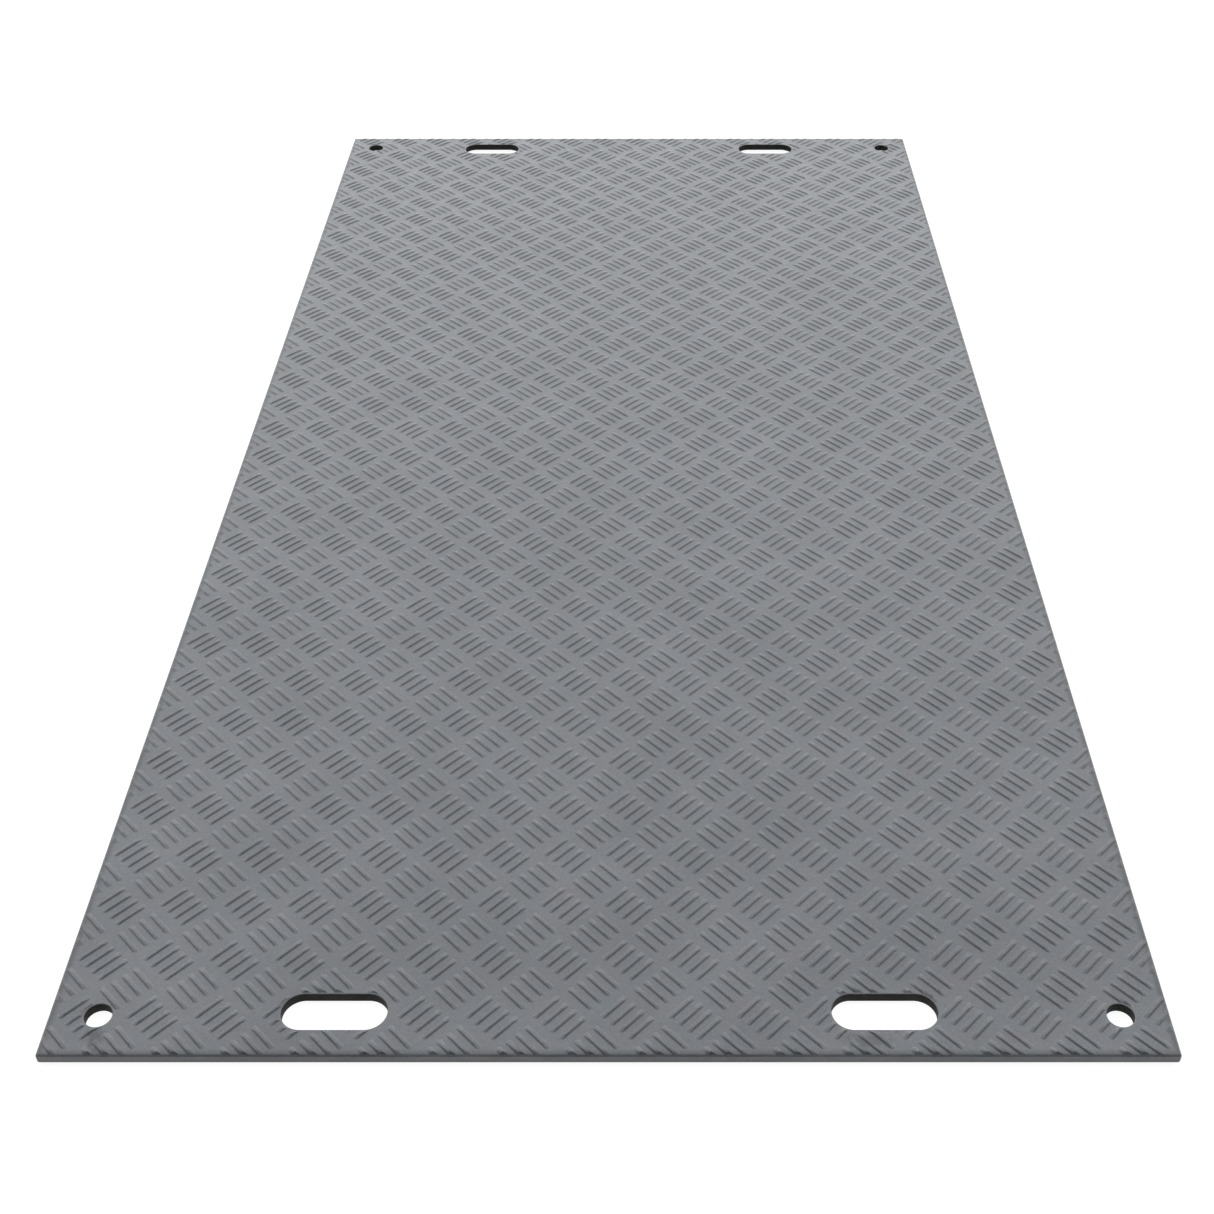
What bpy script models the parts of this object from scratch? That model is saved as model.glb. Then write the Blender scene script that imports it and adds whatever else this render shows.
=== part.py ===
# Ground protection mat: one sheet moulded in grey polyethylene, with a hand slot pair at each short end
# and a round joining hole at each corner. Metres, +Z up. The origin is at the centre of the underside,
# the long way lies along +Y and the walking deck faces +Z.

import math

import bmesh
import bpy
from mathutils import Vector

# Sheet, a standard four by eight foot size
SHEET_WIDTH = 1.220
SHEET_LENGTH = 2.440
CORE_THICKNESS = 0.0127
TREAD_HEIGHT = 0.0015  # raised bars on each face; the solid runs up to their crowns
CORNER_RADIUS = 0.003
EDGE_ROUND = 0.0012

# Hand slots, with full round ends
SLOT_LENGTH = 0.116
SLOT_WIDTH = 0.047
SLOT_FROM_SIDE = 0.310  # long side of the sheet to the slot's centre
SLOT_FROM_END = 0.058

# Round holes for the connectors that join one mat to the next
HOLE_DIAMETER = 0.030
HOLE_FROM_SIDE = 0.054
HOLE_FROM_END = 0.053

RIM_ROUND = 0.0010  # round on the rims of the slots and holes
CUT_OVERRUN = 0.004  # how far a cutter runs past each face

# Facets
CORNER_STEPS = 5
SLOT_END_STEPS = 20
HOLE_STEPS = 40
ROUND_STEPS = 2
SHARP_EDGE = math.radians(60)  # an edge that turns more than this is rounded

# Derived sizes
OVERALL_THICKNESS = CORE_THICKNESS + 2 * TREAD_HEIGHT
MID_HEIGHT = OVERALL_THICKNESS / 2
CUTTER_HEIGHT = OVERALL_THICKNESS + 2 * CUT_OVERRUN

MAT_GREY = (0.168, 0.172, 0.182, 1.0)


def clear_scene():
    for leftover in list(bpy.data.objects):
        bpy.data.objects.remove(leftover, do_unlink=True)


def new_collection(name):
    collection = bpy.data.collections.new(name)
    bpy.context.scene.collection.children.link(collection)
    return collection


def plastic_material():
    material = bpy.data.materials.new("mat_polyethylene")
    material.use_nodes = True
    shader = material.node_tree.nodes["Principled BSDF"]
    shader.inputs["Base Color"].default_value = MAT_GREY
    shader.inputs["Roughness"].default_value = 0.5
    shader.inputs["Metallic"].default_value = 0.0
    return material


def rounded_outline(length, width, radius, steps):
    """Corner points of a rectangle whose corners are arcs, counter-clockwise, with the length along X."""
    reach_x = length / 2 - radius
    reach_y = width / 2 - radius
    points = []
    for quarter, (side_x, side_y) in enumerate([(1, 1), (-1, 1), (-1, -1), (1, -1)]):
        centre = Vector((side_x * reach_x, side_y * reach_y, 0))
        for step in range(steps + 1):
            angle = (quarter + step / steps) * math.pi / 2
            points.append(centre + radius * Vector((math.cos(angle), math.sin(angle), 0)))
    return points


def plate_from_outline(name, points, thickness, collection):
    """A flat plate as a mesh, centred on its own mid plane."""
    curve = bpy.data.curves.new(name + "_outline", "CURVE")
    curve.dimensions = "2D"
    curve.fill_mode = "BOTH"
    curve.extrude = thickness / 2
    spline = curve.splines.new("POLY")
    spline.points.add(len(points) - 1)
    for spline_point, point in zip(spline.points, points):
        spline_point.co = (*point, 1)
    spline.use_cyclic_u = True
    outline = bpy.data.objects.new(name + "_outline", curve)
    collection.objects.link(outline)

    depsgraph = bpy.context.evaluated_depsgraph_get()
    mesh = bpy.data.meshes.new_from_object(outline.evaluated_get(depsgraph))
    mesh.name = name
    tidy = bmesh.new()
    tidy.from_mesh(mesh)
    bmesh.ops.remove_doubles(tidy, verts=tidy.verts, dist=0.00001)
    bmesh.ops.dissolve_limit(tidy, angle_limit=math.radians(0.5), verts=tidy.verts, edges=tidy.edges)
    bmesh.ops.recalc_face_normals(tidy, faces=tidy.faces)
    tidy.to_mesh(mesh)
    tidy.free()

    plate = bpy.data.objects.new(name, mesh)
    plate.matrix_world = outline.matrix_world
    collection.objects.link(plate)
    bpy.data.objects.remove(outline, do_unlink=True)
    return plate


def mark_as_cutter(cutter):
    cutter.display_type = "WIRE"
    cutter.hide_render = True


def mirrored_places(from_side, from_end):
    """The four places that lie the same distances in from the sides and ends of the sheet."""
    x = SHEET_WIDTH / 2 - from_side
    y = SHEET_LENGTH / 2 - from_end
    return [(side * x, end * y, MID_HEIGHT) for end in (-1, 1) for side in (-1, 1)]


def slot_cutters(collection):
    outline = rounded_outline(SLOT_LENGTH, SLOT_WIDTH, SLOT_WIDTH / 2, SLOT_END_STEPS // 2)
    for number, place in enumerate(mirrored_places(SLOT_FROM_SIDE, SLOT_FROM_END), start=1):
        cutter = plate_from_outline(f"slot_cutter_{number}", outline, CUTTER_HEIGHT, collection)
        cutter.location = place
        mark_as_cutter(cutter)


def hole_cutters(collection):
    for number, place in enumerate(mirrored_places(HOLE_FROM_SIDE, HOLE_FROM_END), start=1):
        mesh = bpy.data.meshes.new(f"hole_cutter_{number}")
        drill = bmesh.new()
        bmesh.ops.create_cone(
            drill,
            cap_ends=True,
            segments=HOLE_STEPS,
            radius1=HOLE_DIAMETER / 2,
            radius2=HOLE_DIAMETER / 2,
            depth=CUTTER_HEIGHT,
        )
        drill.to_mesh(mesh)
        drill.free()
        cutter = bpy.data.objects.new(mesh.name, mesh)
        cutter.location = place
        collection.objects.link(cutter)
        mark_as_cutter(cutter)


def add_round(sheet, name, width):
    bevel = sheet.modifiers.new(name, "BEVEL")
    bevel.limit_method = "ANGLE"
    bevel.angle_limit = SHARP_EDGE
    bevel.width = width
    bevel.segments = ROUND_STEPS
    bevel.use_clamp_overlap = False


def add_cut(sheet, name, cutters):
    cut = sheet.modifiers.new(name, "BOOLEAN")
    cut.operation = "DIFFERENCE"
    cut.solver = "EXACT"
    cut.operand_type = "COLLECTION"
    cut.collection = cutters


def build_mat():
    parts = new_collection("ground_protection_mat")
    slots = new_collection("slot_cutters")
    holes = new_collection("hole_cutters")
    slot_cutters(slots)
    hole_cutters(holes)

    outline = rounded_outline(SHEET_WIDTH, SHEET_LENGTH, CORNER_RADIUS, CORNER_STEPS)
    sheet = plate_from_outline("mat_sheet", outline, OVERALL_THICKNESS, parts)
    sheet.location.z = MID_HEIGHT
    add_round(sheet, "outer_edge_round", EDGE_ROUND)
    add_cut(sheet, "cut_hand_slots", slots)
    add_cut(sheet, "cut_joining_holes", holes)
    add_round(sheet, "rim_round", RIM_ROUND)
    sheet.data.materials.append(plastic_material())
    sheet.data.shade_smooth()
    sheet.data.set_sharp_from_angle(angle=SHARP_EDGE / 2)


clear_scene()
build_mat()
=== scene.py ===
import math

import bmesh
import bpy
from mathutils import Matrix, Vector


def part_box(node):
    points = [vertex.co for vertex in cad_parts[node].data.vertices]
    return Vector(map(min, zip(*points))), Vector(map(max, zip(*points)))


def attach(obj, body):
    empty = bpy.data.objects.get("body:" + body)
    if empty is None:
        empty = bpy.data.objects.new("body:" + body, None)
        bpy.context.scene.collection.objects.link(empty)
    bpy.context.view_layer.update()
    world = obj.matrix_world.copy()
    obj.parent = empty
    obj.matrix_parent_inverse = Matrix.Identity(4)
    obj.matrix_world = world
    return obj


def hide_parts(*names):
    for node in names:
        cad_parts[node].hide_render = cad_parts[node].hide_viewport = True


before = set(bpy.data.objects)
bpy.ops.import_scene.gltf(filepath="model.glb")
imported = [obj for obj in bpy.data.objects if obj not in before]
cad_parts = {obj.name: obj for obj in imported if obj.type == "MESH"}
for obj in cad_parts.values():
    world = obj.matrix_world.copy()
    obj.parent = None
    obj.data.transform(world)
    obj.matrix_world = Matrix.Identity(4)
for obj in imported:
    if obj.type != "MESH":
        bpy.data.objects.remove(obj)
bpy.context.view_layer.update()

# ground protection mat: a flat core with a tread of raised bars on both faces
# metres, the long way along Y, the deck up
lowest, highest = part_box("mat_sheet")
scene = bpy.context.scene

sheet = {
    "width": highest.x - lowest.x,
    "length": highest.y - lowest.y,
    "thickness": highest.z - lowest.z,     # over the bars of both faces
    "barHeight": 0.0015,
    "cornerRadius": 0.003,
    "cornerSteps": 6,
    "edgeRound": 0.0028,
    "rimRound": 0.0013,
    "roundSteps": 3,
    "roundedDegrees": 60,        # an edge that turns more than this is rounded
    "sharpDegrees": 50,          # and one that still turns more than this is shaded sharp
}
deckLevel = highest.z - sheet["barHeight"]
baseLevel = lowest.z + sheet["barHeight"]
midLevel = (highest.z + lowest.z) / 2


def fromBmesh(name, bm):
    mesh = bpy.data.meshes.new(name)
    bm.to_mesh(mesh)
    bm.free()
    piece = bpy.data.objects.new(name, mesh)
    scene.collection.objects.link(piece)
    return piece


def bakeModifiers(piece):
    # the finished mesh stands on its own, with no live modifier left
    graph = bpy.context.evaluated_depsgraph_get()
    mesh = bpy.data.meshes.new_from_object(piece.evaluated_get(graph))
    old = piece.data
    piece.modifiers.clear()
    piece.data = mesh
    bpy.data.meshes.remove(old)
    mesh.name = piece.name


def shadeEvenly(piece, sharpDegrees):
    # rounds blend into the flat faces, which are shaded flat
    piece.data.shade_smooth()
    piece.data.set_sharp_from_angle(angle=math.radians(sharpDegrees))
    even = piece.modifiers.new("evenShading", "WEIGHTED_NORMAL")
    even.keep_sharp = True
    even.weight = 100
    bakeModifiers(piece)


def removePiece(piece):
    mesh = piece.data
    bpy.data.objects.remove(piece)
    bpy.data.meshes.remove(mesh)


# hand slots and joining holes
openings = {
    "slotLength": 0.116,
    "slotWidth": 0.047,
    "slotFromSide": 0.310,       # to the slot's centre
    "slotFromEnd": 0.058,
    "holeDiameter": 0.030,
    "holeFromSide": 0.054,
    "holeFromEnd": 0.053,
    "segments": 48,
    "cutReach": 0.024,           # of the cutters, up and down from the sheet's middle
}


def listOpenings():
    # centre, half of the straight run along X, radius
    radius = openings["slotWidth"] / 2
    kinds = (
        (openings["slotFromSide"], openings["slotFromEnd"], openings["slotLength"] / 2 - radius, radius),
        (openings["holeFromSide"], openings["holeFromEnd"], 0.0, openings["holeDiameter"] / 2),
    )
    found = []
    for side in (-1, 1):
        for end in (-1, 1):
            for fromSide, fromEnd, run, radius in kinds:
                x = side * (sheet["width"] / 2 - fromSide)
                y = end * (sheet["length"] / 2 - fromEnd)
                found.append((Vector((x, y)), run, radius))
    return found


openingPlaces = listOpenings()


def openingCutter(name, grow, level, reach, flare=0.0):
    # every opening as a solid that reaches up and down from a level, where it is wider by grow all round;
    # flare widens its top and narrows its foot
    bm = bmesh.new()
    steps = openings["segments"]
    for centre, run, radius in openingPlaces:
        made = bmesh.ops.create_cone(bm, cap_ends=True, segments=steps, radius1=radius + grow - flare,
                                     radius2=radius + grow + flare, depth=2 * reach,
                                     matrix=Matrix.Rotation(math.pi / steps, 4, "Z"))
        for vert in made["verts"]:
            vert.co.x += math.copysign(run, vert.co.x)
        bmesh.ops.translate(bm, verts=made["verts"], vec=(centre.x, centre.y, level))
    return fromBmesh(name, bm)


def blankSolid(name, bottom, top, inset, cornerRadius, chamfer=0.0):
    # the sheet's outline as a plain block with round corners, and chamfered along its top if asked
    bm = bmesh.new()
    bmesh.ops.create_cube(bm, size=1)
    size = (sheet["width"] - 2 * inset, sheet["length"] - 2 * inset, top - bottom)
    middle = (top + bottom) / 2
    bmesh.ops.scale(bm, verts=bm.verts, vec=size)
    bmesh.ops.translate(bm, verts=bm.verts, vec=(0, 0, middle))
    upright = [e for e in bm.edges if (e.verts[0].co.z - middle) * (e.verts[1].co.z - middle) < 0]
    bmesh.ops.bevel(bm, geom=upright, offset=cornerRadius, segments=sheet["cornerSteps"], profile=0.5,
                    affect="EDGES", material=-1, clamp_overlap=False)
    if chamfer:
        upper = [e for e in bm.edges if min(v.co.z for v in e.verts) > middle]
        bmesh.ops.bevel(bm, geom=upper, offset=chamfer, segments=1, profile=0.5,
                        affect="EDGES", material=-1, clamp_overlap=False)
    return fromBmesh(name, bm)


def addBoolean(piece, operation, other):
    cut = piece.modifiers.new(operation.lower(), "BOOLEAN")
    cut.operation = operation
    cut.solver = "EXACT"
    cut.object = other


def addRound(piece, name, width):
    rounding = piece.modifiers.new(name, "BEVEL")
    rounding.width = width
    rounding.segments = sheet["roundSteps"]
    rounding.limit_method = "ANGLE"
    rounding.angle_limit = math.radians(sheet["roundedDegrees"])


def makeCore():
    core = blankSolid("matCore", baseLevel, deckLevel, 0.0, sheet["cornerRadius"])
    cutter = openingCutter("openingCutter", 0.0, midLevel, openings["cutReach"])
    addRound(core, "outerRound", sheet["edgeRound"])
    addBoolean(core, "DIFFERENCE", cutter)
    addRound(core, "rimRound", sheet["rimRound"])
    bakeModifiers(core)
    removePiece(cutter)
    return core


# raised tread bars: groups of four that lean right, and groups that lean left halfway between them
tread = {
    "acrossRepeat": 0.07374,     # from one group to the next of its kind, across the sheet
    "alongRepeat": 0.07913,      # and along it
    "firstFromSide": 0.0393,     # first group that leans right, from the left side
    "firstFromEnd": 0.0500,      # and from the near end
    "barsInGroup": 4,
    "barSpacing": 0.0134,
    "barLength": 0.0388,
    "footWidth": 0.0074,
    "leanDegrees": 46.9,
    "steps": [(0.0019, 0.00135, 0.0058), (0.0005, 0.00015, 0.0026)],   # inward, up and ramp at the ends
    "sunk": 0.0008,              # into the core
    "ringSegments": 8,
    "sharpDegrees": 33,
    "trimBack": 0.0019,          # a cut bar ends this far in from the edge or the rim
    "trimRun": 0.0034,           # and slopes up from there over this run
    "trimAbove": 0.0016,         # by this much
    "trimBelow": 0.0018,         # how far the trim block reaches into the core
    "trimReach": 0.0024,         # and its cutters, up and down from the face
    "trimCorner": 0.006,
    "cornerRoom": 0.009,         # a bar nearer than this to a corner of the sheet is cut too
    "testPoints": 9,             # along each bar, to see what cuts it
}


def oneBar():
    bm = bmesh.new()
    steps = tread["ringSegments"]
    tip = math.cos(math.pi / steps)
    radius = tread["footWidth"] / 2 / tip
    made = bmesh.ops.create_circle(bm, cap_ends=True, segments=steps, radius=radius,
                                   matrix=Matrix.Rotation(math.pi / steps, 4, "Z"))
    run = tread["barLength"] / 2 - radius * tip
    for vert in made["verts"]:
        vert.co.x += math.copysign(run, vert.co.x)
        vert.co.z = -tread["sunk"]
    grown = bmesh.ops.extrude_face_region(bm, geom=bm.faces[:], use_keep_orig=True)
    raised = [g for g in grown["geom"] if isinstance(g, bmesh.types.BMVert)]
    bmesh.ops.translate(bm, verts=raised, vec=(0, 0, tread["sunk"]))
    crown = [g for g in grown["geom"] if isinstance(g, bmesh.types.BMFace)]
    bmesh.ops.recalc_face_normals(bm, faces=bm.faces)
    for inward, up, ramp in tread["steps"]:
        bmesh.ops.inset_region(bm, faces=crown, thickness=inward, depth=up, use_even_offset=True)
        for vert in {v for face in crown for v in face.verts}:
            vert.co.x -= math.copysign(ramp, vert.co.x)     # the ends slope more gently than the sides
    bmesh.ops.recalc_face_normals(bm, faces=bm.faces)
    return bm


def firstGroup(lean):
    # centre of the first group of a kind; the left leaning one is half a repeat back each way
    back = 0.5 if lean < 0 else 0.0
    x = -sheet["width"] / 2 + tread["firstFromSide"] - back * tread["acrossRepeat"]
    y = -sheet["length"] / 2 + tread["firstFromEnd"] - back * tread["alongRepeat"]
    return Vector((x, y, deckLevel))


def barField(name, lean):
    # one bar, then its group and the whole lattice of groups by arrays
    bm = oneBar()
    turn = Matrix.Rotation(math.radians(lean * tread["leanDegrees"]), 4, "Z")
    sideways = turn @ Vector((0, -lean * tread["barSpacing"], 0))
    bmesh.ops.transform(bm, matrix=turn, verts=bm.verts)
    firstBar = firstGroup(lean) - sideways * (tread["barsInGroup"] - 1) / 2
    bmesh.ops.translate(bm, verts=bm.verts, vec=firstBar)
    vertsInBar = len(bm.verts)
    field = fromBmesh(name, bm)
    across = math.ceil(sheet["width"] / tread["acrossRepeat"]) + 1
    along = math.ceil(sheet["length"] / tread["alongRepeat"]) + 1
    copies = (
        ("inGroup", tread["barsInGroup"], sideways),
        ("across", across, Vector((tread["acrossRepeat"], 0, 0))),
        ("along", along, Vector((0, tread["alongRepeat"], 0))),
    )
    for label, count, offset in copies:
        array = field.modifiers.new(label, "ARRAY")
        array.count = count
        array.use_relative_offset = False
        array.use_constant_offset = True
        array.constant_offset_displace = offset
    bakeModifiers(field)
    return field, vertsInBar, turn @ Vector((1, 0, 0))


def barState(centre, direction):
    # 1 for a whole bar, 0 for one that an edge or opening cuts, -1 for one that is clear off the sheet
    radius = tread["footWidth"] / 2
    run = tread["barLength"] / 2 - radius
    state = 1
    onSheet = False
    for number in range(tread["testPoints"]):
        share = 2 * number / (tread["testPoints"] - 1) - 1
        point = centre.xy + direction.xy * (run * share)
        fromSide = sheet["width"] / 2 - abs(point.x)
        fromEnd = sheet["length"] / 2 - abs(point.y)
        room = min(fromSide, fromEnd)
        for middle, half, hole in openingPlaces:
            gap = Vector((max(abs(point.x - middle.x) - half, 0), point.y - middle.y)).length - hole
            room = min(room, gap)
        nearCorner = math.hypot(fromSide, fromEnd) < tread["cornerRoom"]
        if nearCorner or room < radius + tread["trimBack"] + tread["trimRun"]:
            state = 0
        if room > -radius:
            onSheet = True
    return state if onSheet else -1


def splitField(field, vertsInBar, direction, wanted):
    bm = bmesh.new()
    bm.from_mesh(field.data)
    bm.verts.ensure_lookup_table()
    drop = []
    for start in range(0, len(bm.verts), vertsInBar):
        bar = bm.verts[start:start + vertsInBar]
        centre = sum((v.co for v in bar), Vector()) / vertsInBar
        if barState(centre, direction) != wanted:
            drop.extend(bar)
    bmesh.ops.delete(bm, geom=drop, context="VERTS")
    return bm


def makeTrimBlock():
    # cut bars keep what lies inside this block, whose slopes run down to the edge and the rims;
    # it is chamfered at 45 degrees with its height stretched, then flattened
    stretch = tread["trimRun"] / tread["trimAbove"]
    block = blankSolid("trimBlock", -stretch * tread["trimBelow"], tread["trimRun"], tread["trimBack"],
                       tread["trimCorner"], tread["trimRun"])
    block.data.transform(Matrix.Translation((0, 0, deckLevel)) @ Matrix.Diagonal((1, 1, 1 / stretch, 1)))
    reach = tread["trimReach"]
    cutter = openingCutter("trimCutter", tread["trimBack"], deckLevel, reach, stretch * reach)
    addBoolean(block, "DIFFERENCE", cutter)
    bakeModifiers(block)
    removePiece(cutter)
    return block


def makeTread(name, lean, trimBlock):
    field, vertsInBar, direction = barField(name + "Field", lean)
    bars = splitField(field, vertsInBar, direction, 1)
    cut = fromBmesh(name + "Cut", splitField(field, vertsInBar, direction, 0))
    addBoolean(cut, "INTERSECT", trimBlock)
    bakeModifiers(cut)
    bars.from_mesh(cut.data)
    removePiece(cut)
    removePiece(field)
    return fromBmesh(name, bars)


def mirroredBelow(name, deckPiece):
    # the underside carries the same bars, mirrored through the middle of the sheet
    bm = bmesh.new()
    bm.from_mesh(deckPiece.data)
    bmesh.ops.scale(bm, verts=bm.verts, vec=(1, 1, -1))
    bmesh.ops.translate(bm, verts=bm.verts, vec=(0, 0, highest.z + lowest.z))
    bmesh.ops.reverse_faces(bm, faces=bm.faces)
    return fromBmesh(name, bm)


# node helpers for the materials and the studio
def addNode(tree, kind, inputs=None, **settings):
    # inputs may be sockets to join or values to set
    node = tree.nodes.new("ShaderNode" + kind)
    for name, value in settings.items():
        setattr(node, name, value)
    for name, value in (inputs or {}).items():
        if isinstance(value, bpy.types.NodeSocket):
            tree.links.new(value, node.inputs[name])
        else:
            node.inputs[name].default_value = value
    return node


def remap(tree, value, fromRange, toRange=(0, 1), smooth=False):
    node = addNode(tree, "MapRange", {"Value": value, "From Min": fromRange[0], "From Max": fromRange[1],
                                      "To Min": toRange[0], "To Max": toRange[1]})
    if smooth:
        node.interpolation_type = "SMOOTHSTEP"
    return node.outputs["Result"]


def calc(tree, operation, first, second=0.0):
    return addNode(tree, "Math", {0: first, 1: second}, operation=operation).outputs[0]


def blendTone(tree, share, first, second):
    # first where share is 0, second where it is 1
    return remap(tree, share, (0, 1), (first, second))


def steppedTone(tree, share, tones):
    # the tone between the listed pairs of share and tone
    ramp = addNode(tree, "ValToRGB", {"Fac": share})
    stops = ramp.color_ramp.elements
    for number, (position, tone) in enumerate(tones):
        stop = stops[number] if number < len(stops) else stops.new(position)
        stop.position = position
        stop.color = (tone, tone, tone, 1)
    return ramp.outputs["Color"]


def mixColour(tree, share, first, second):
    return addNode(tree, "Mix", {0: share, 6: first, 7: second}, data_type="RGBA").outputs[2]


def stretched(tree, place, scale, turn=0.0):
    node = addNode(tree, "Mapping", {"Vector": place, "Rotation": (0, 0, turn), "Scale": scale})
    return node.outputs[0]


def noiseOf(tree, place, scale, detail=2.0):
    return addNode(tree, "TexNoise", {"Vector": place, "Scale": scale, "Detail": detail}).outputs["Fac"]


noiseSpread = 0.2                # nearly all of a noise's values lie within this of a half


def noiseRange(strength=1.0):
    return 0.5 - noiseSpread / strength, 0.5 + noiseSpread / strength


def swing(tree, place, setting):
    # a tone that wanders about 1; the setting is its scale and how far it goes
    scale, depth = setting
    return remap(tree, noiseOf(tree, place, scale), noiseRange(), (1 - depth, 1 + depth))


def bumped(tree, height, setting, under=None):
    # the setting is the bump's strength and its distance
    inputs = {"Height": height, "Strength": setting[0], "Distance": setting[1]}
    if under:
        inputs["Normal"] = under
    return addNode(tree, "Bump", inputs).outputs["Normal"]


def newMaterial(name):
    material = bpy.data.materials.new(name)
    material.use_nodes = True
    tree = material.node_tree
    return material, tree, tree.nodes["Principled BSDF"], addNode(tree, "TexCoord")


# moulded polyethylene
plastic = {
    "grey": (0.113, 0.117, 0.126),
    "warmTint": (1.062, 0.989, 0.976, 1),
    "coolTint": (0.938, 1.010, 1.028, 1),
    "tint": (44.0, 0.9),         # scale of the warm and cool patches, and how hard they part
    "cloud": (7.0, 0.11),        # patches, scale and swing of tone
    "speckle": (240.0, 0.07),
    "grain": (760.0, 0.16),
    "barTone": (29.0, 0.10),     # one bar is a little darker than the next
    "barFoot": (0.0001, 0.0003),     # the bars' tones set in this high above the sheet's face
    "crownFrom": 0.0009,         # and the crowns' here
    "crownTone": 1.005,          # rubbed paler on top
    "footShadeTone": 0.90,            # painted shade, darker low down on the bars toward their foot
    "slopeTilt": (0.04, 0.17),   # from level at 0 to upright at 1, where a bar's slope sets in
    "wallTilt": (0.01, 0.18),    # and the sheet's wall
    "slopeShadeTones": (0.73, 1.28),  # painted shade and light on the bars' slopes: darker at the near end, paler at the far one
    "farTone": 0.965,            # the far end is a little darker all over
    "leanRange": (-0.5, 0.5),    # from a face that looks to the near end to one that looks to the far end
    # painted shade and light on the bars by which way a face looks: darker facing either end, paler
    # tilted a little toward the near end
    "leanShadeTones": [(0.09, 0.80), (0.25, 1.0), (0.39, 1.12), (0.50, 1.0), (0.61, 0.87), (0.91, 0.80)],
    # painted shade on the outer wall: darker than the deck, darkest in its lower half and darker again at
    # the top
    "wallShadeTones": [(0.0, 0.70), (0.10, 0.74), (0.22, 0.65), (0.36, 0.63), (0.50, 0.70), (0.64, 0.86),
                  (0.79, 0.97), (0.93, 0.96), (1.0, 0.82)],     # from the foot of the wall to its top
    "wallStreaks": (40.0, 40.0, 260.0),
    "wallSwing": 0.14,
    "edgeShadeReach": (0.0020, 0.0105),    # painted shade along the outline and its rounded top edge, which fades between these distances in
    "edgeTone": 0.50,
    "scratchTurns": (0.5, -1.05),
    "scratchStretch": (7.0, 420.0, 7.0),
    "scratchDetail": 1.0,
    "scratchWidth": (0.66, 0.72),
    "scratchBreaks": (11.0, (0.50, 0.60)),
    "scratchTone": 1.09,
    "skin": (60.0, 4.0),         # scale and detail of the duller and shinier patches
    "roughness": (0.35, 0.43),
    "rubbedRoughness": 0.05,     # more on crowns and scratches
    "grainBump": (0.35, 0.00010),    # strength, and distance in metres
    "peel": (260.0, 1.0),
    "peelBump": (0.35, 0.00025),
}

# darker places on the deck
marks = {
    "places": [                  # centre and reach in metres, turn in degrees, tone left
        ((-0.5522, -1.1985), (0.0130, 0.0220), 10, 0.50),
        ((0.2780, -1.2000), (0.0380, 0.0130), 0, 0.68),
        ((-0.2178, -0.2206), (0.0042, 0.0030), 45, 0.35),
        ((0.5300, -0.7400), (0.0170, 0.0120), -20, 0.90),
    ],
    "ragged": (160.0, 3.0),      # scale and detail of their outline
    "raggedDepth": 0.3,
    "fade": (0.35, 1.0),         # from the full tone to none, in reaches from the centre
}


def markTone(tree, place, mark):
    centre, reach, turn, tone = mark
    local = addNode(tree, "Mapping", {"Vector": place, "Location": (*centre, highest.z),
                                      "Rotation": (0, 0, math.radians(turn)),
                                      "Scale": (*reach, sheet["thickness"] / 2)}, vector_type="TEXTURE")
    away = addNode(tree, "VectorMath", {0: local.outputs[0]}, operation="LENGTH").outputs["Value"]
    depth = marks["raggedDepth"]
    ragged = remap(tree, noiseOf(tree, place, *marks["ragged"]), noiseRange(), (-depth, depth))
    return remap(tree, calc(tree, "ADD", away, ragged), marks["fade"], (tone, 1.0), smooth=True)


def scratchShare(tree, place, turn):
    # thin broken streaks across the sheet
    along = stretched(tree, place, plastic["scratchStretch"], turn)
    streaks = noiseOf(tree, along, 1.0, plastic["scratchDetail"])
    thin = remap(tree, streaks, plastic["scratchWidth"], smooth=True)
    scale, breaks = plastic["scratchBreaks"]
    broken = remap(tree, noiseOf(tree, place, scale), breaks, smooth=True)
    return calc(tree, "MULTIPLY", thin, broken)


def surfacePoint(tree, coords):
    # where a point of the surface is, which way it looks and what it lies on
    place = coords.outputs["Object"]
    spot = addNode(tree, "SeparateXYZ", {0: place})
    facing = addNode(tree, "SeparateXYZ", {0: coords.outputs["Normal"]})
    fromMiddle = calc(tree, "ABSOLUTE", calc(tree, "SUBTRACT", spot.outputs["Z"], midLevel))
    above = calc(tree, "SUBTRACT", fromMiddle, deckLevel - midLevel)
    return {
        "place": place,
        "x": spot.outputs["X"],
        "y": spot.outputs["Y"],
        "z": spot.outputs["Z"],
        "lean": facing.outputs["Y"],
        "tilt": calc(tree, "SUBTRACT", 1.0, calc(tree, "ABSOLUTE", facing.outputs["Z"])),
        "above": above,
        "onBar": remap(tree, above, plastic["barFoot"]),
        "crown": remap(tree, above, (plastic["crownFrom"], sheet["barHeight"]), smooth=True),
    }


def barTones(tree, point):
    # painted shade and light low down, on the slopes and by which way a face looks, and crowns rubbed
    # paler
    sloped = remap(tree, point["tilt"], plastic["slopeTilt"], smooth=True)
    slope = calc(tree, "MULTIPLY", sloped, point["onBar"])
    # painted shade and light on the bars' slopes, darker toward the near end and paler toward the far one
    slopeShade = remap(tree, point["y"], (lowest.y, highest.y), plastic["slopeShadeTones"])
    slopeTone = calc(tree, "MULTIPLY", swing(tree, point["place"], plastic["barTone"]), slopeShade)
    # painted shade and light by which way a bar's face looks along the sheet
    leanShade = steppedTone(tree, remap(tree, point["lean"], plastic["leanRange"]), plastic["leanShadeTones"])
    # painted shade, darker toward the foot of each bar
    climb = remap(tree, point["above"], (0, sheet["barHeight"]), (plastic["footShadeTone"], 1.0))
    return [
        blendTone(tree, slope, 1.0, slopeTone),
        blendTone(tree, point["crown"], 1.0, plastic["crownTone"]),
        blendTone(tree, point["onBar"], 1.0, calc(tree, "MULTIPLY", climb, leanShade)),
    ]


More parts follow.
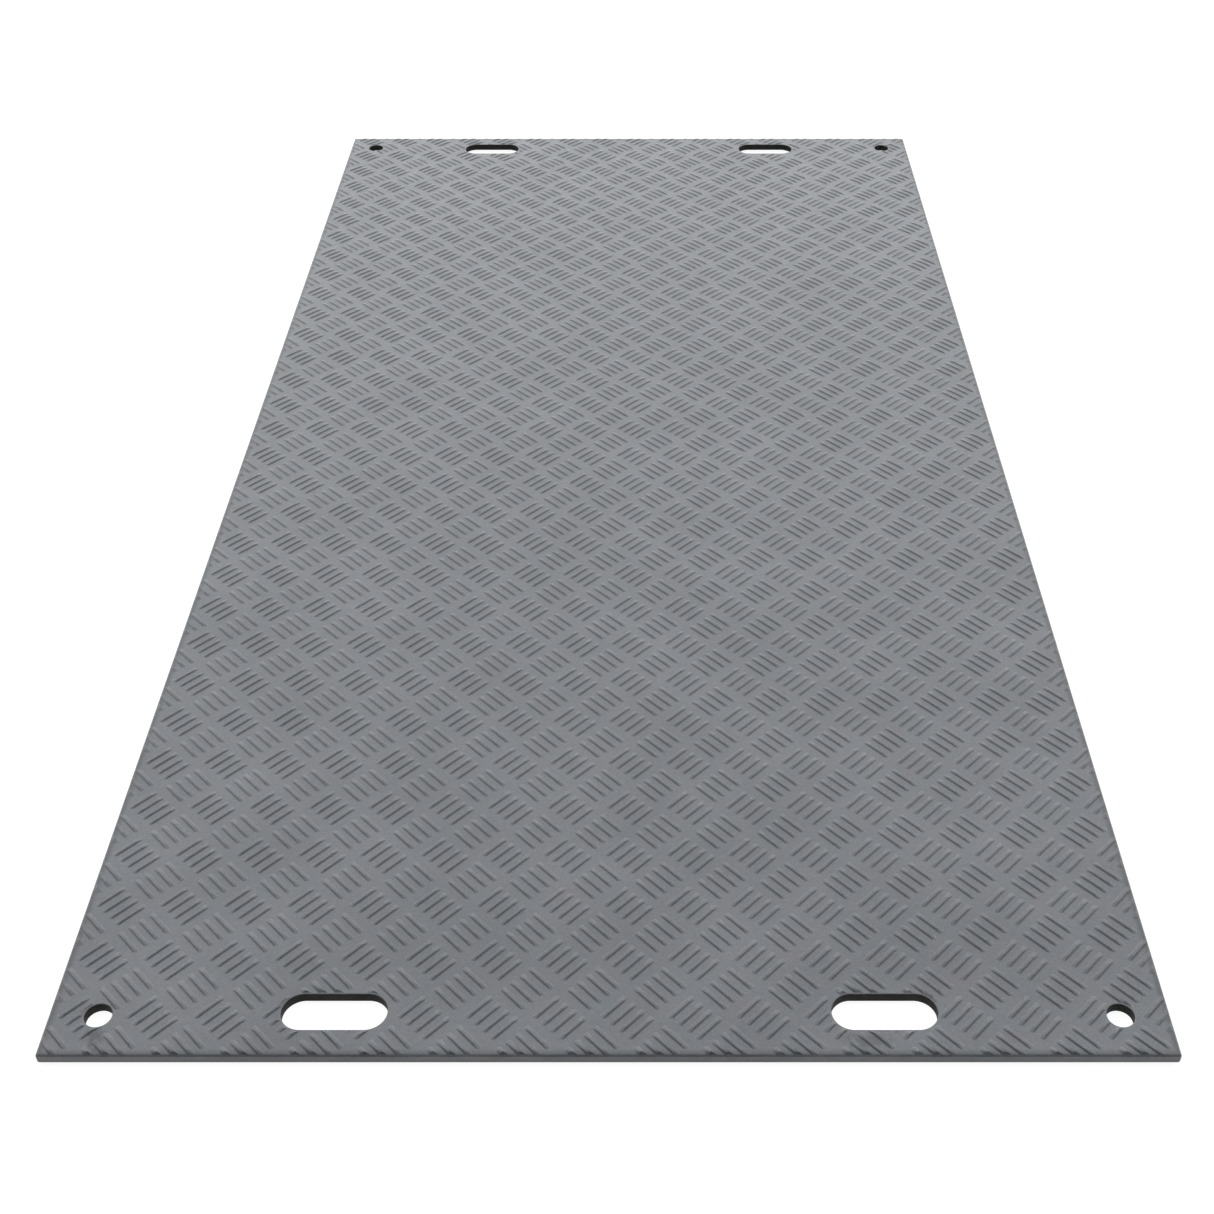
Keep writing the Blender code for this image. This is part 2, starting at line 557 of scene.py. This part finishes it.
def sheetTones(tree, point):
    # the darker far end, painted shade along the outline, and the wall's painted shade with its streaks
    upright = remap(tree, point["tilt"], plastic["wallTilt"], smooth=True)
    wall = calc(tree, "MULTIPLY", upright, calc(tree, "SUBTRACT", 1.0, point["onBar"]))
    drawn = stretched(tree, point["place"], plastic["wallStreaks"])
    streaks = swing(tree, drawn, (1.0, plastic["wallSwing"]))
    # painted shade on the outer wall, banded by height, with streaks
    climb = remap(tree, point["z"], (baseLevel, deckLevel))
    wallTone = calc(tree, "MULTIPLY", steppedTone(tree, climb, plastic["wallShadeTones"]), streaks)
    # painted shade along the outline, darkest at the rounded edge
    fromSide = calc(tree, "SUBTRACT", highest.x, calc(tree, "ABSOLUTE", point["x"]))
    fromEnd = calc(tree, "SUBTRACT", highest.y, calc(tree, "ABSOLUTE", point["y"]))
    inward = calc(tree, "MINIMUM", fromSide, fromEnd)
    edgeTone = remap(tree, inward, plastic["edgeShadeReach"], (plastic["edgeTone"], 1.0), smooth=True)
    return [
        remap(tree, point["y"], (0, highest.y), (1.0, plastic["farTone"])),
        blendTone(tree, wall, edgeTone, wallTone),
    ]


def makePlastic():
    material, tree, shader, coords = newMaterial("mouldedPolyethylene")
    point = surfacePoint(tree, coords)
    place = point["place"]
    scratched = [scratchShare(tree, place, turn) for turn in plastic["scratchTurns"]]
    scratches = calc(tree, "MAXIMUM", *scratched)

    # one tone for all of it, then the grey with its warm and cool patches
    tones = [swing(tree, place, plastic[name]) for name in ("cloud", "speckle", "grain")]
    tones.extend(barTones(tree, point))
    tones.extend(sheetTones(tree, point))
    tones.append(blendTone(tree, scratches, 1.0, plastic["scratchTone"]))
    tones.extend(markTone(tree, place, mark) for mark in marks["places"])
    tone = tones[0]
    for other in tones[1:]:
        tone = calc(tree, "MULTIPLY", tone, other)
    scale, strength = plastic["tint"]
    share = remap(tree, noiseOf(tree, place, scale), noiseRange(strength))
    hue = mixColour(tree, share, plastic["warmTint"], plastic["coolTint"])
    colour = addNode(tree, "VectorMath", {0: hue, 1: plastic["grey"]}, operation="MULTIPLY").outputs[0]
    toned = addNode(tree, "VectorMath", {0: colour, "Scale": tone}, operation="SCALE").outputs[0]
    tree.links.new(toned, shader.inputs["Base Color"])

    # satin skin, duller where it is rubbed
    skin = remap(tree, noiseOf(tree, place, *plastic["skin"]), noiseRange(), plastic["roughness"])
    rubbed = calc(tree, "MAXIMUM", point["crown"], scratches)
    duller = calc(tree, "MULTIPLY", rubbed, plastic["rubbedRoughness"])
    tree.links.new(calc(tree, "ADD", skin, duller), shader.inputs["Roughness"])

    peel = bumped(tree, noiseOf(tree, place, *plastic["peel"]), plastic["peelBump"])
    grain = bumped(tree, noiseOf(tree, place, plastic["grain"][0]), plastic["grainBump"], peel)
    tree.links.new(grain, shader.inputs["Normal"])
    return material


# painted shade: near-black walls inside the slots and holes, where little light reaches
cutWallShade = {
    "dark": (0.006, 0.006, 0.005, 1),
    "worn": (0.024, 0.023, 0.021, 1),
    "streaks": (22.0, 22.0, 900.0),
    "patches": 120.0,
    "detail": 3.0,
    "wornShare": (0.15, 0.40),
    "roughness": (0.62, 0.80),
    "specular": 0.2,
    "bump": (0.5, 0.0002),
    "levelFrom": 0.7,            # a face that looks up or down by this much isn't wall
}


def makeCutWallShade():
    material, tree, shader, coords = newMaterial("cutWallShade")
    place = coords.outputs["Object"]
    streaks = noiseOf(tree, stretched(tree, place, cutWallShade["streaks"]), 1.0, cutWallShade["detail"])
    patches = noiseOf(tree, place, cutWallShade["patches"], cutWallShade["detail"])
    share = remap(tree, calc(tree, "MULTIPLY", streaks, patches), cutWallShade["wornShare"])
    # painted shade, near-black with faint streaks
    tree.links.new(mixColour(tree, share, cutWallShade["dark"], cutWallShade["worn"]), shader.inputs["Base Color"])
    tree.links.new(remap(tree, streaks, noiseRange(), cutWallShade["roughness"]), shader.inputs["Roughness"])
    shader.inputs["Specular IOR Level"].default_value = cutWallShade["specular"]
    tree.links.new(bumped(tree, streaks, cutWallShade["bump"]), shader.inputs["Normal"])
    return material


def paintCutWallShade(core):
    # the upright faces inside the slots and holes take the second material, the painted shade
    inside = min(openings["slotFromEnd"] - openings["slotWidth"] / 2,
                 openings["holeFromSide"] - openings["holeDiameter"] / 2) / 2
    for face in core.data.polygons:
        edgeGap = min(sheet["width"] / 2 - abs(face.center.x), sheet["length"] / 2 - abs(face.center.y))
        face.material_index = int(edgeGap > inside and abs(face.normal.z) < cutWallShade["levelFrom"])


# camera, light and floor
studio = {
    "cameraPlace": (0.0413, -2.2837, 1.4713),
    "cameraTilt": 51.459,
    "lens": 48.59,
    "sensor": 36,
    "shiftX": -0.0333,
    "floorHalf": 30.0,
    "floorGap": 0.0003,          # below the mat
    "floorGrey": (0.22, 0.22, 0.22, 1),
    "floorRoughness": 0.9,
    "floorGlow": 0.92,
    "white": (1, 1, 1, 1),
    "domeTint": (0.96, 0.98, 1.0, 1),
    "domeAxis": (0, 0.95, 0.31),
    "domeFrom": (0.00, 0.45),    # along the axis, from dim to bright
    "domeLight": (0.20, 2.55),
    "domeRise": (0.55, 0.95),    # by height, brighter low down than overhead
    "domeFade": (1.09, 0.48),
    "backdrop": 1.0,
}


def makeCamera():
    data = bpy.data.cameras.new("studioCamera")
    camera = bpy.data.objects.new("studioCamera", data)
    scene.collection.objects.link(camera)
    camera.location = studio["cameraPlace"]
    camera.rotation_euler = (math.radians(studio["cameraTilt"]), 0, 0)
    data.sensor_width = studio["sensor"]
    data.lens = studio["lens"]
    data.shift_x = studio["shiftX"]
    scene.camera = camera


def makeFloor():
    bm = bmesh.new()
    bmesh.ops.create_grid(bm, x_segments=1, y_segments=1, size=studio["floorHalf"])
    floor = fromBmesh("studioFloor", bm)
    floor.location.z = -studio["floorGap"]
    material = bpy.data.materials.new("paleFloor")
    material.use_nodes = True
    shader = material.node_tree.nodes["Principled BSDF"]
    shader.inputs["Base Color"].default_value = studio["floorGrey"]
    shader.inputs["Roughness"].default_value = studio["floorRoughness"]
    shader.inputs["Specular IOR Level"].default_value = 0.0
    shader.inputs["Emission Color"].default_value = studio["white"]
    shader.inputs["Emission Strength"].default_value = studio["floorGlow"]
    floor.data.materials.append(material)


def makeWorld():
    # a soft dome, bright behind the mat and dim in front of it, with a plain white backdrop
    world = bpy.data.worlds.new("studioWorld")
    world.use_nodes = True
    tree = world.node_tree
    around = addNode(tree, "TexCoord").outputs["Generated"]
    behind = addNode(tree, "VectorMath", {0: around, 1: studio["domeAxis"]}, operation="DOT_PRODUCT")
    glow = remap(tree, behind.outputs["Value"], studio["domeFrom"], studio["domeLight"], smooth=True)
    height = addNode(tree, "SeparateXYZ", {0: around}).outputs["Z"]
    fade = remap(tree, height, studio["domeRise"], studio["domeFade"])
    dome = tree.nodes["Background"]
    dome.inputs["Color"].default_value = studio["domeTint"]
    tree.links.new(calc(tree, "MULTIPLY", glow, fade), dome.inputs["Strength"])
    backdrop = addNode(tree, "Background", {"Color": studio["white"], "Strength": studio["backdrop"]})
    seen = addNode(tree, "LightPath").outputs["Is Camera Ray"]
    both = addNode(tree, "MixShader", {0: seen, 1: dome.outputs[0], 2: backdrop.outputs[0]})
    tree.links.new(both.outputs[0], tree.nodes["World Output"].inputs["Surface"])
    scene.world = world


makeCamera()
makeWorld()
makeFloor()
scene.view_settings.view_transform = "Standard"
print("studio ready")

core = makeCore()
shadeEvenly(core, sheet["sharpDegrees"])
print("core ready:", len(core.data.polygons), "faces")

trimBlock = makeTrimBlock()
deckRight = makeTread("deckTreadRight", 1, trimBlock)
deckLeft = makeTread("deckTreadLeft", -1, trimBlock)
removePiece(trimBlock)
baseRight = mirroredBelow("baseTreadRight", deckRight)
baseLeft = mirroredBelow("baseTreadLeft", deckLeft)
for piece in (deckRight, deckLeft, baseRight, baseLeft):
    shadeEvenly(piece, tread["sharpDegrees"])
print("tread ready:", len(deckRight.data.polygons), "and", len(deckLeft.data.polygons), "faces")

polyethylene = makePlastic()
for piece in (core, deckRight, deckLeft, baseRight, baseLeft):
    piece.data.materials.clear()
    piece.data.materials.append(polyethylene)
    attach(piece, "root")
# the painted shade inside the openings
core.data.materials.append(makeCutWallShade())
paintCutWallShade(core)
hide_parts("mat_sheet")
print("finish ready")
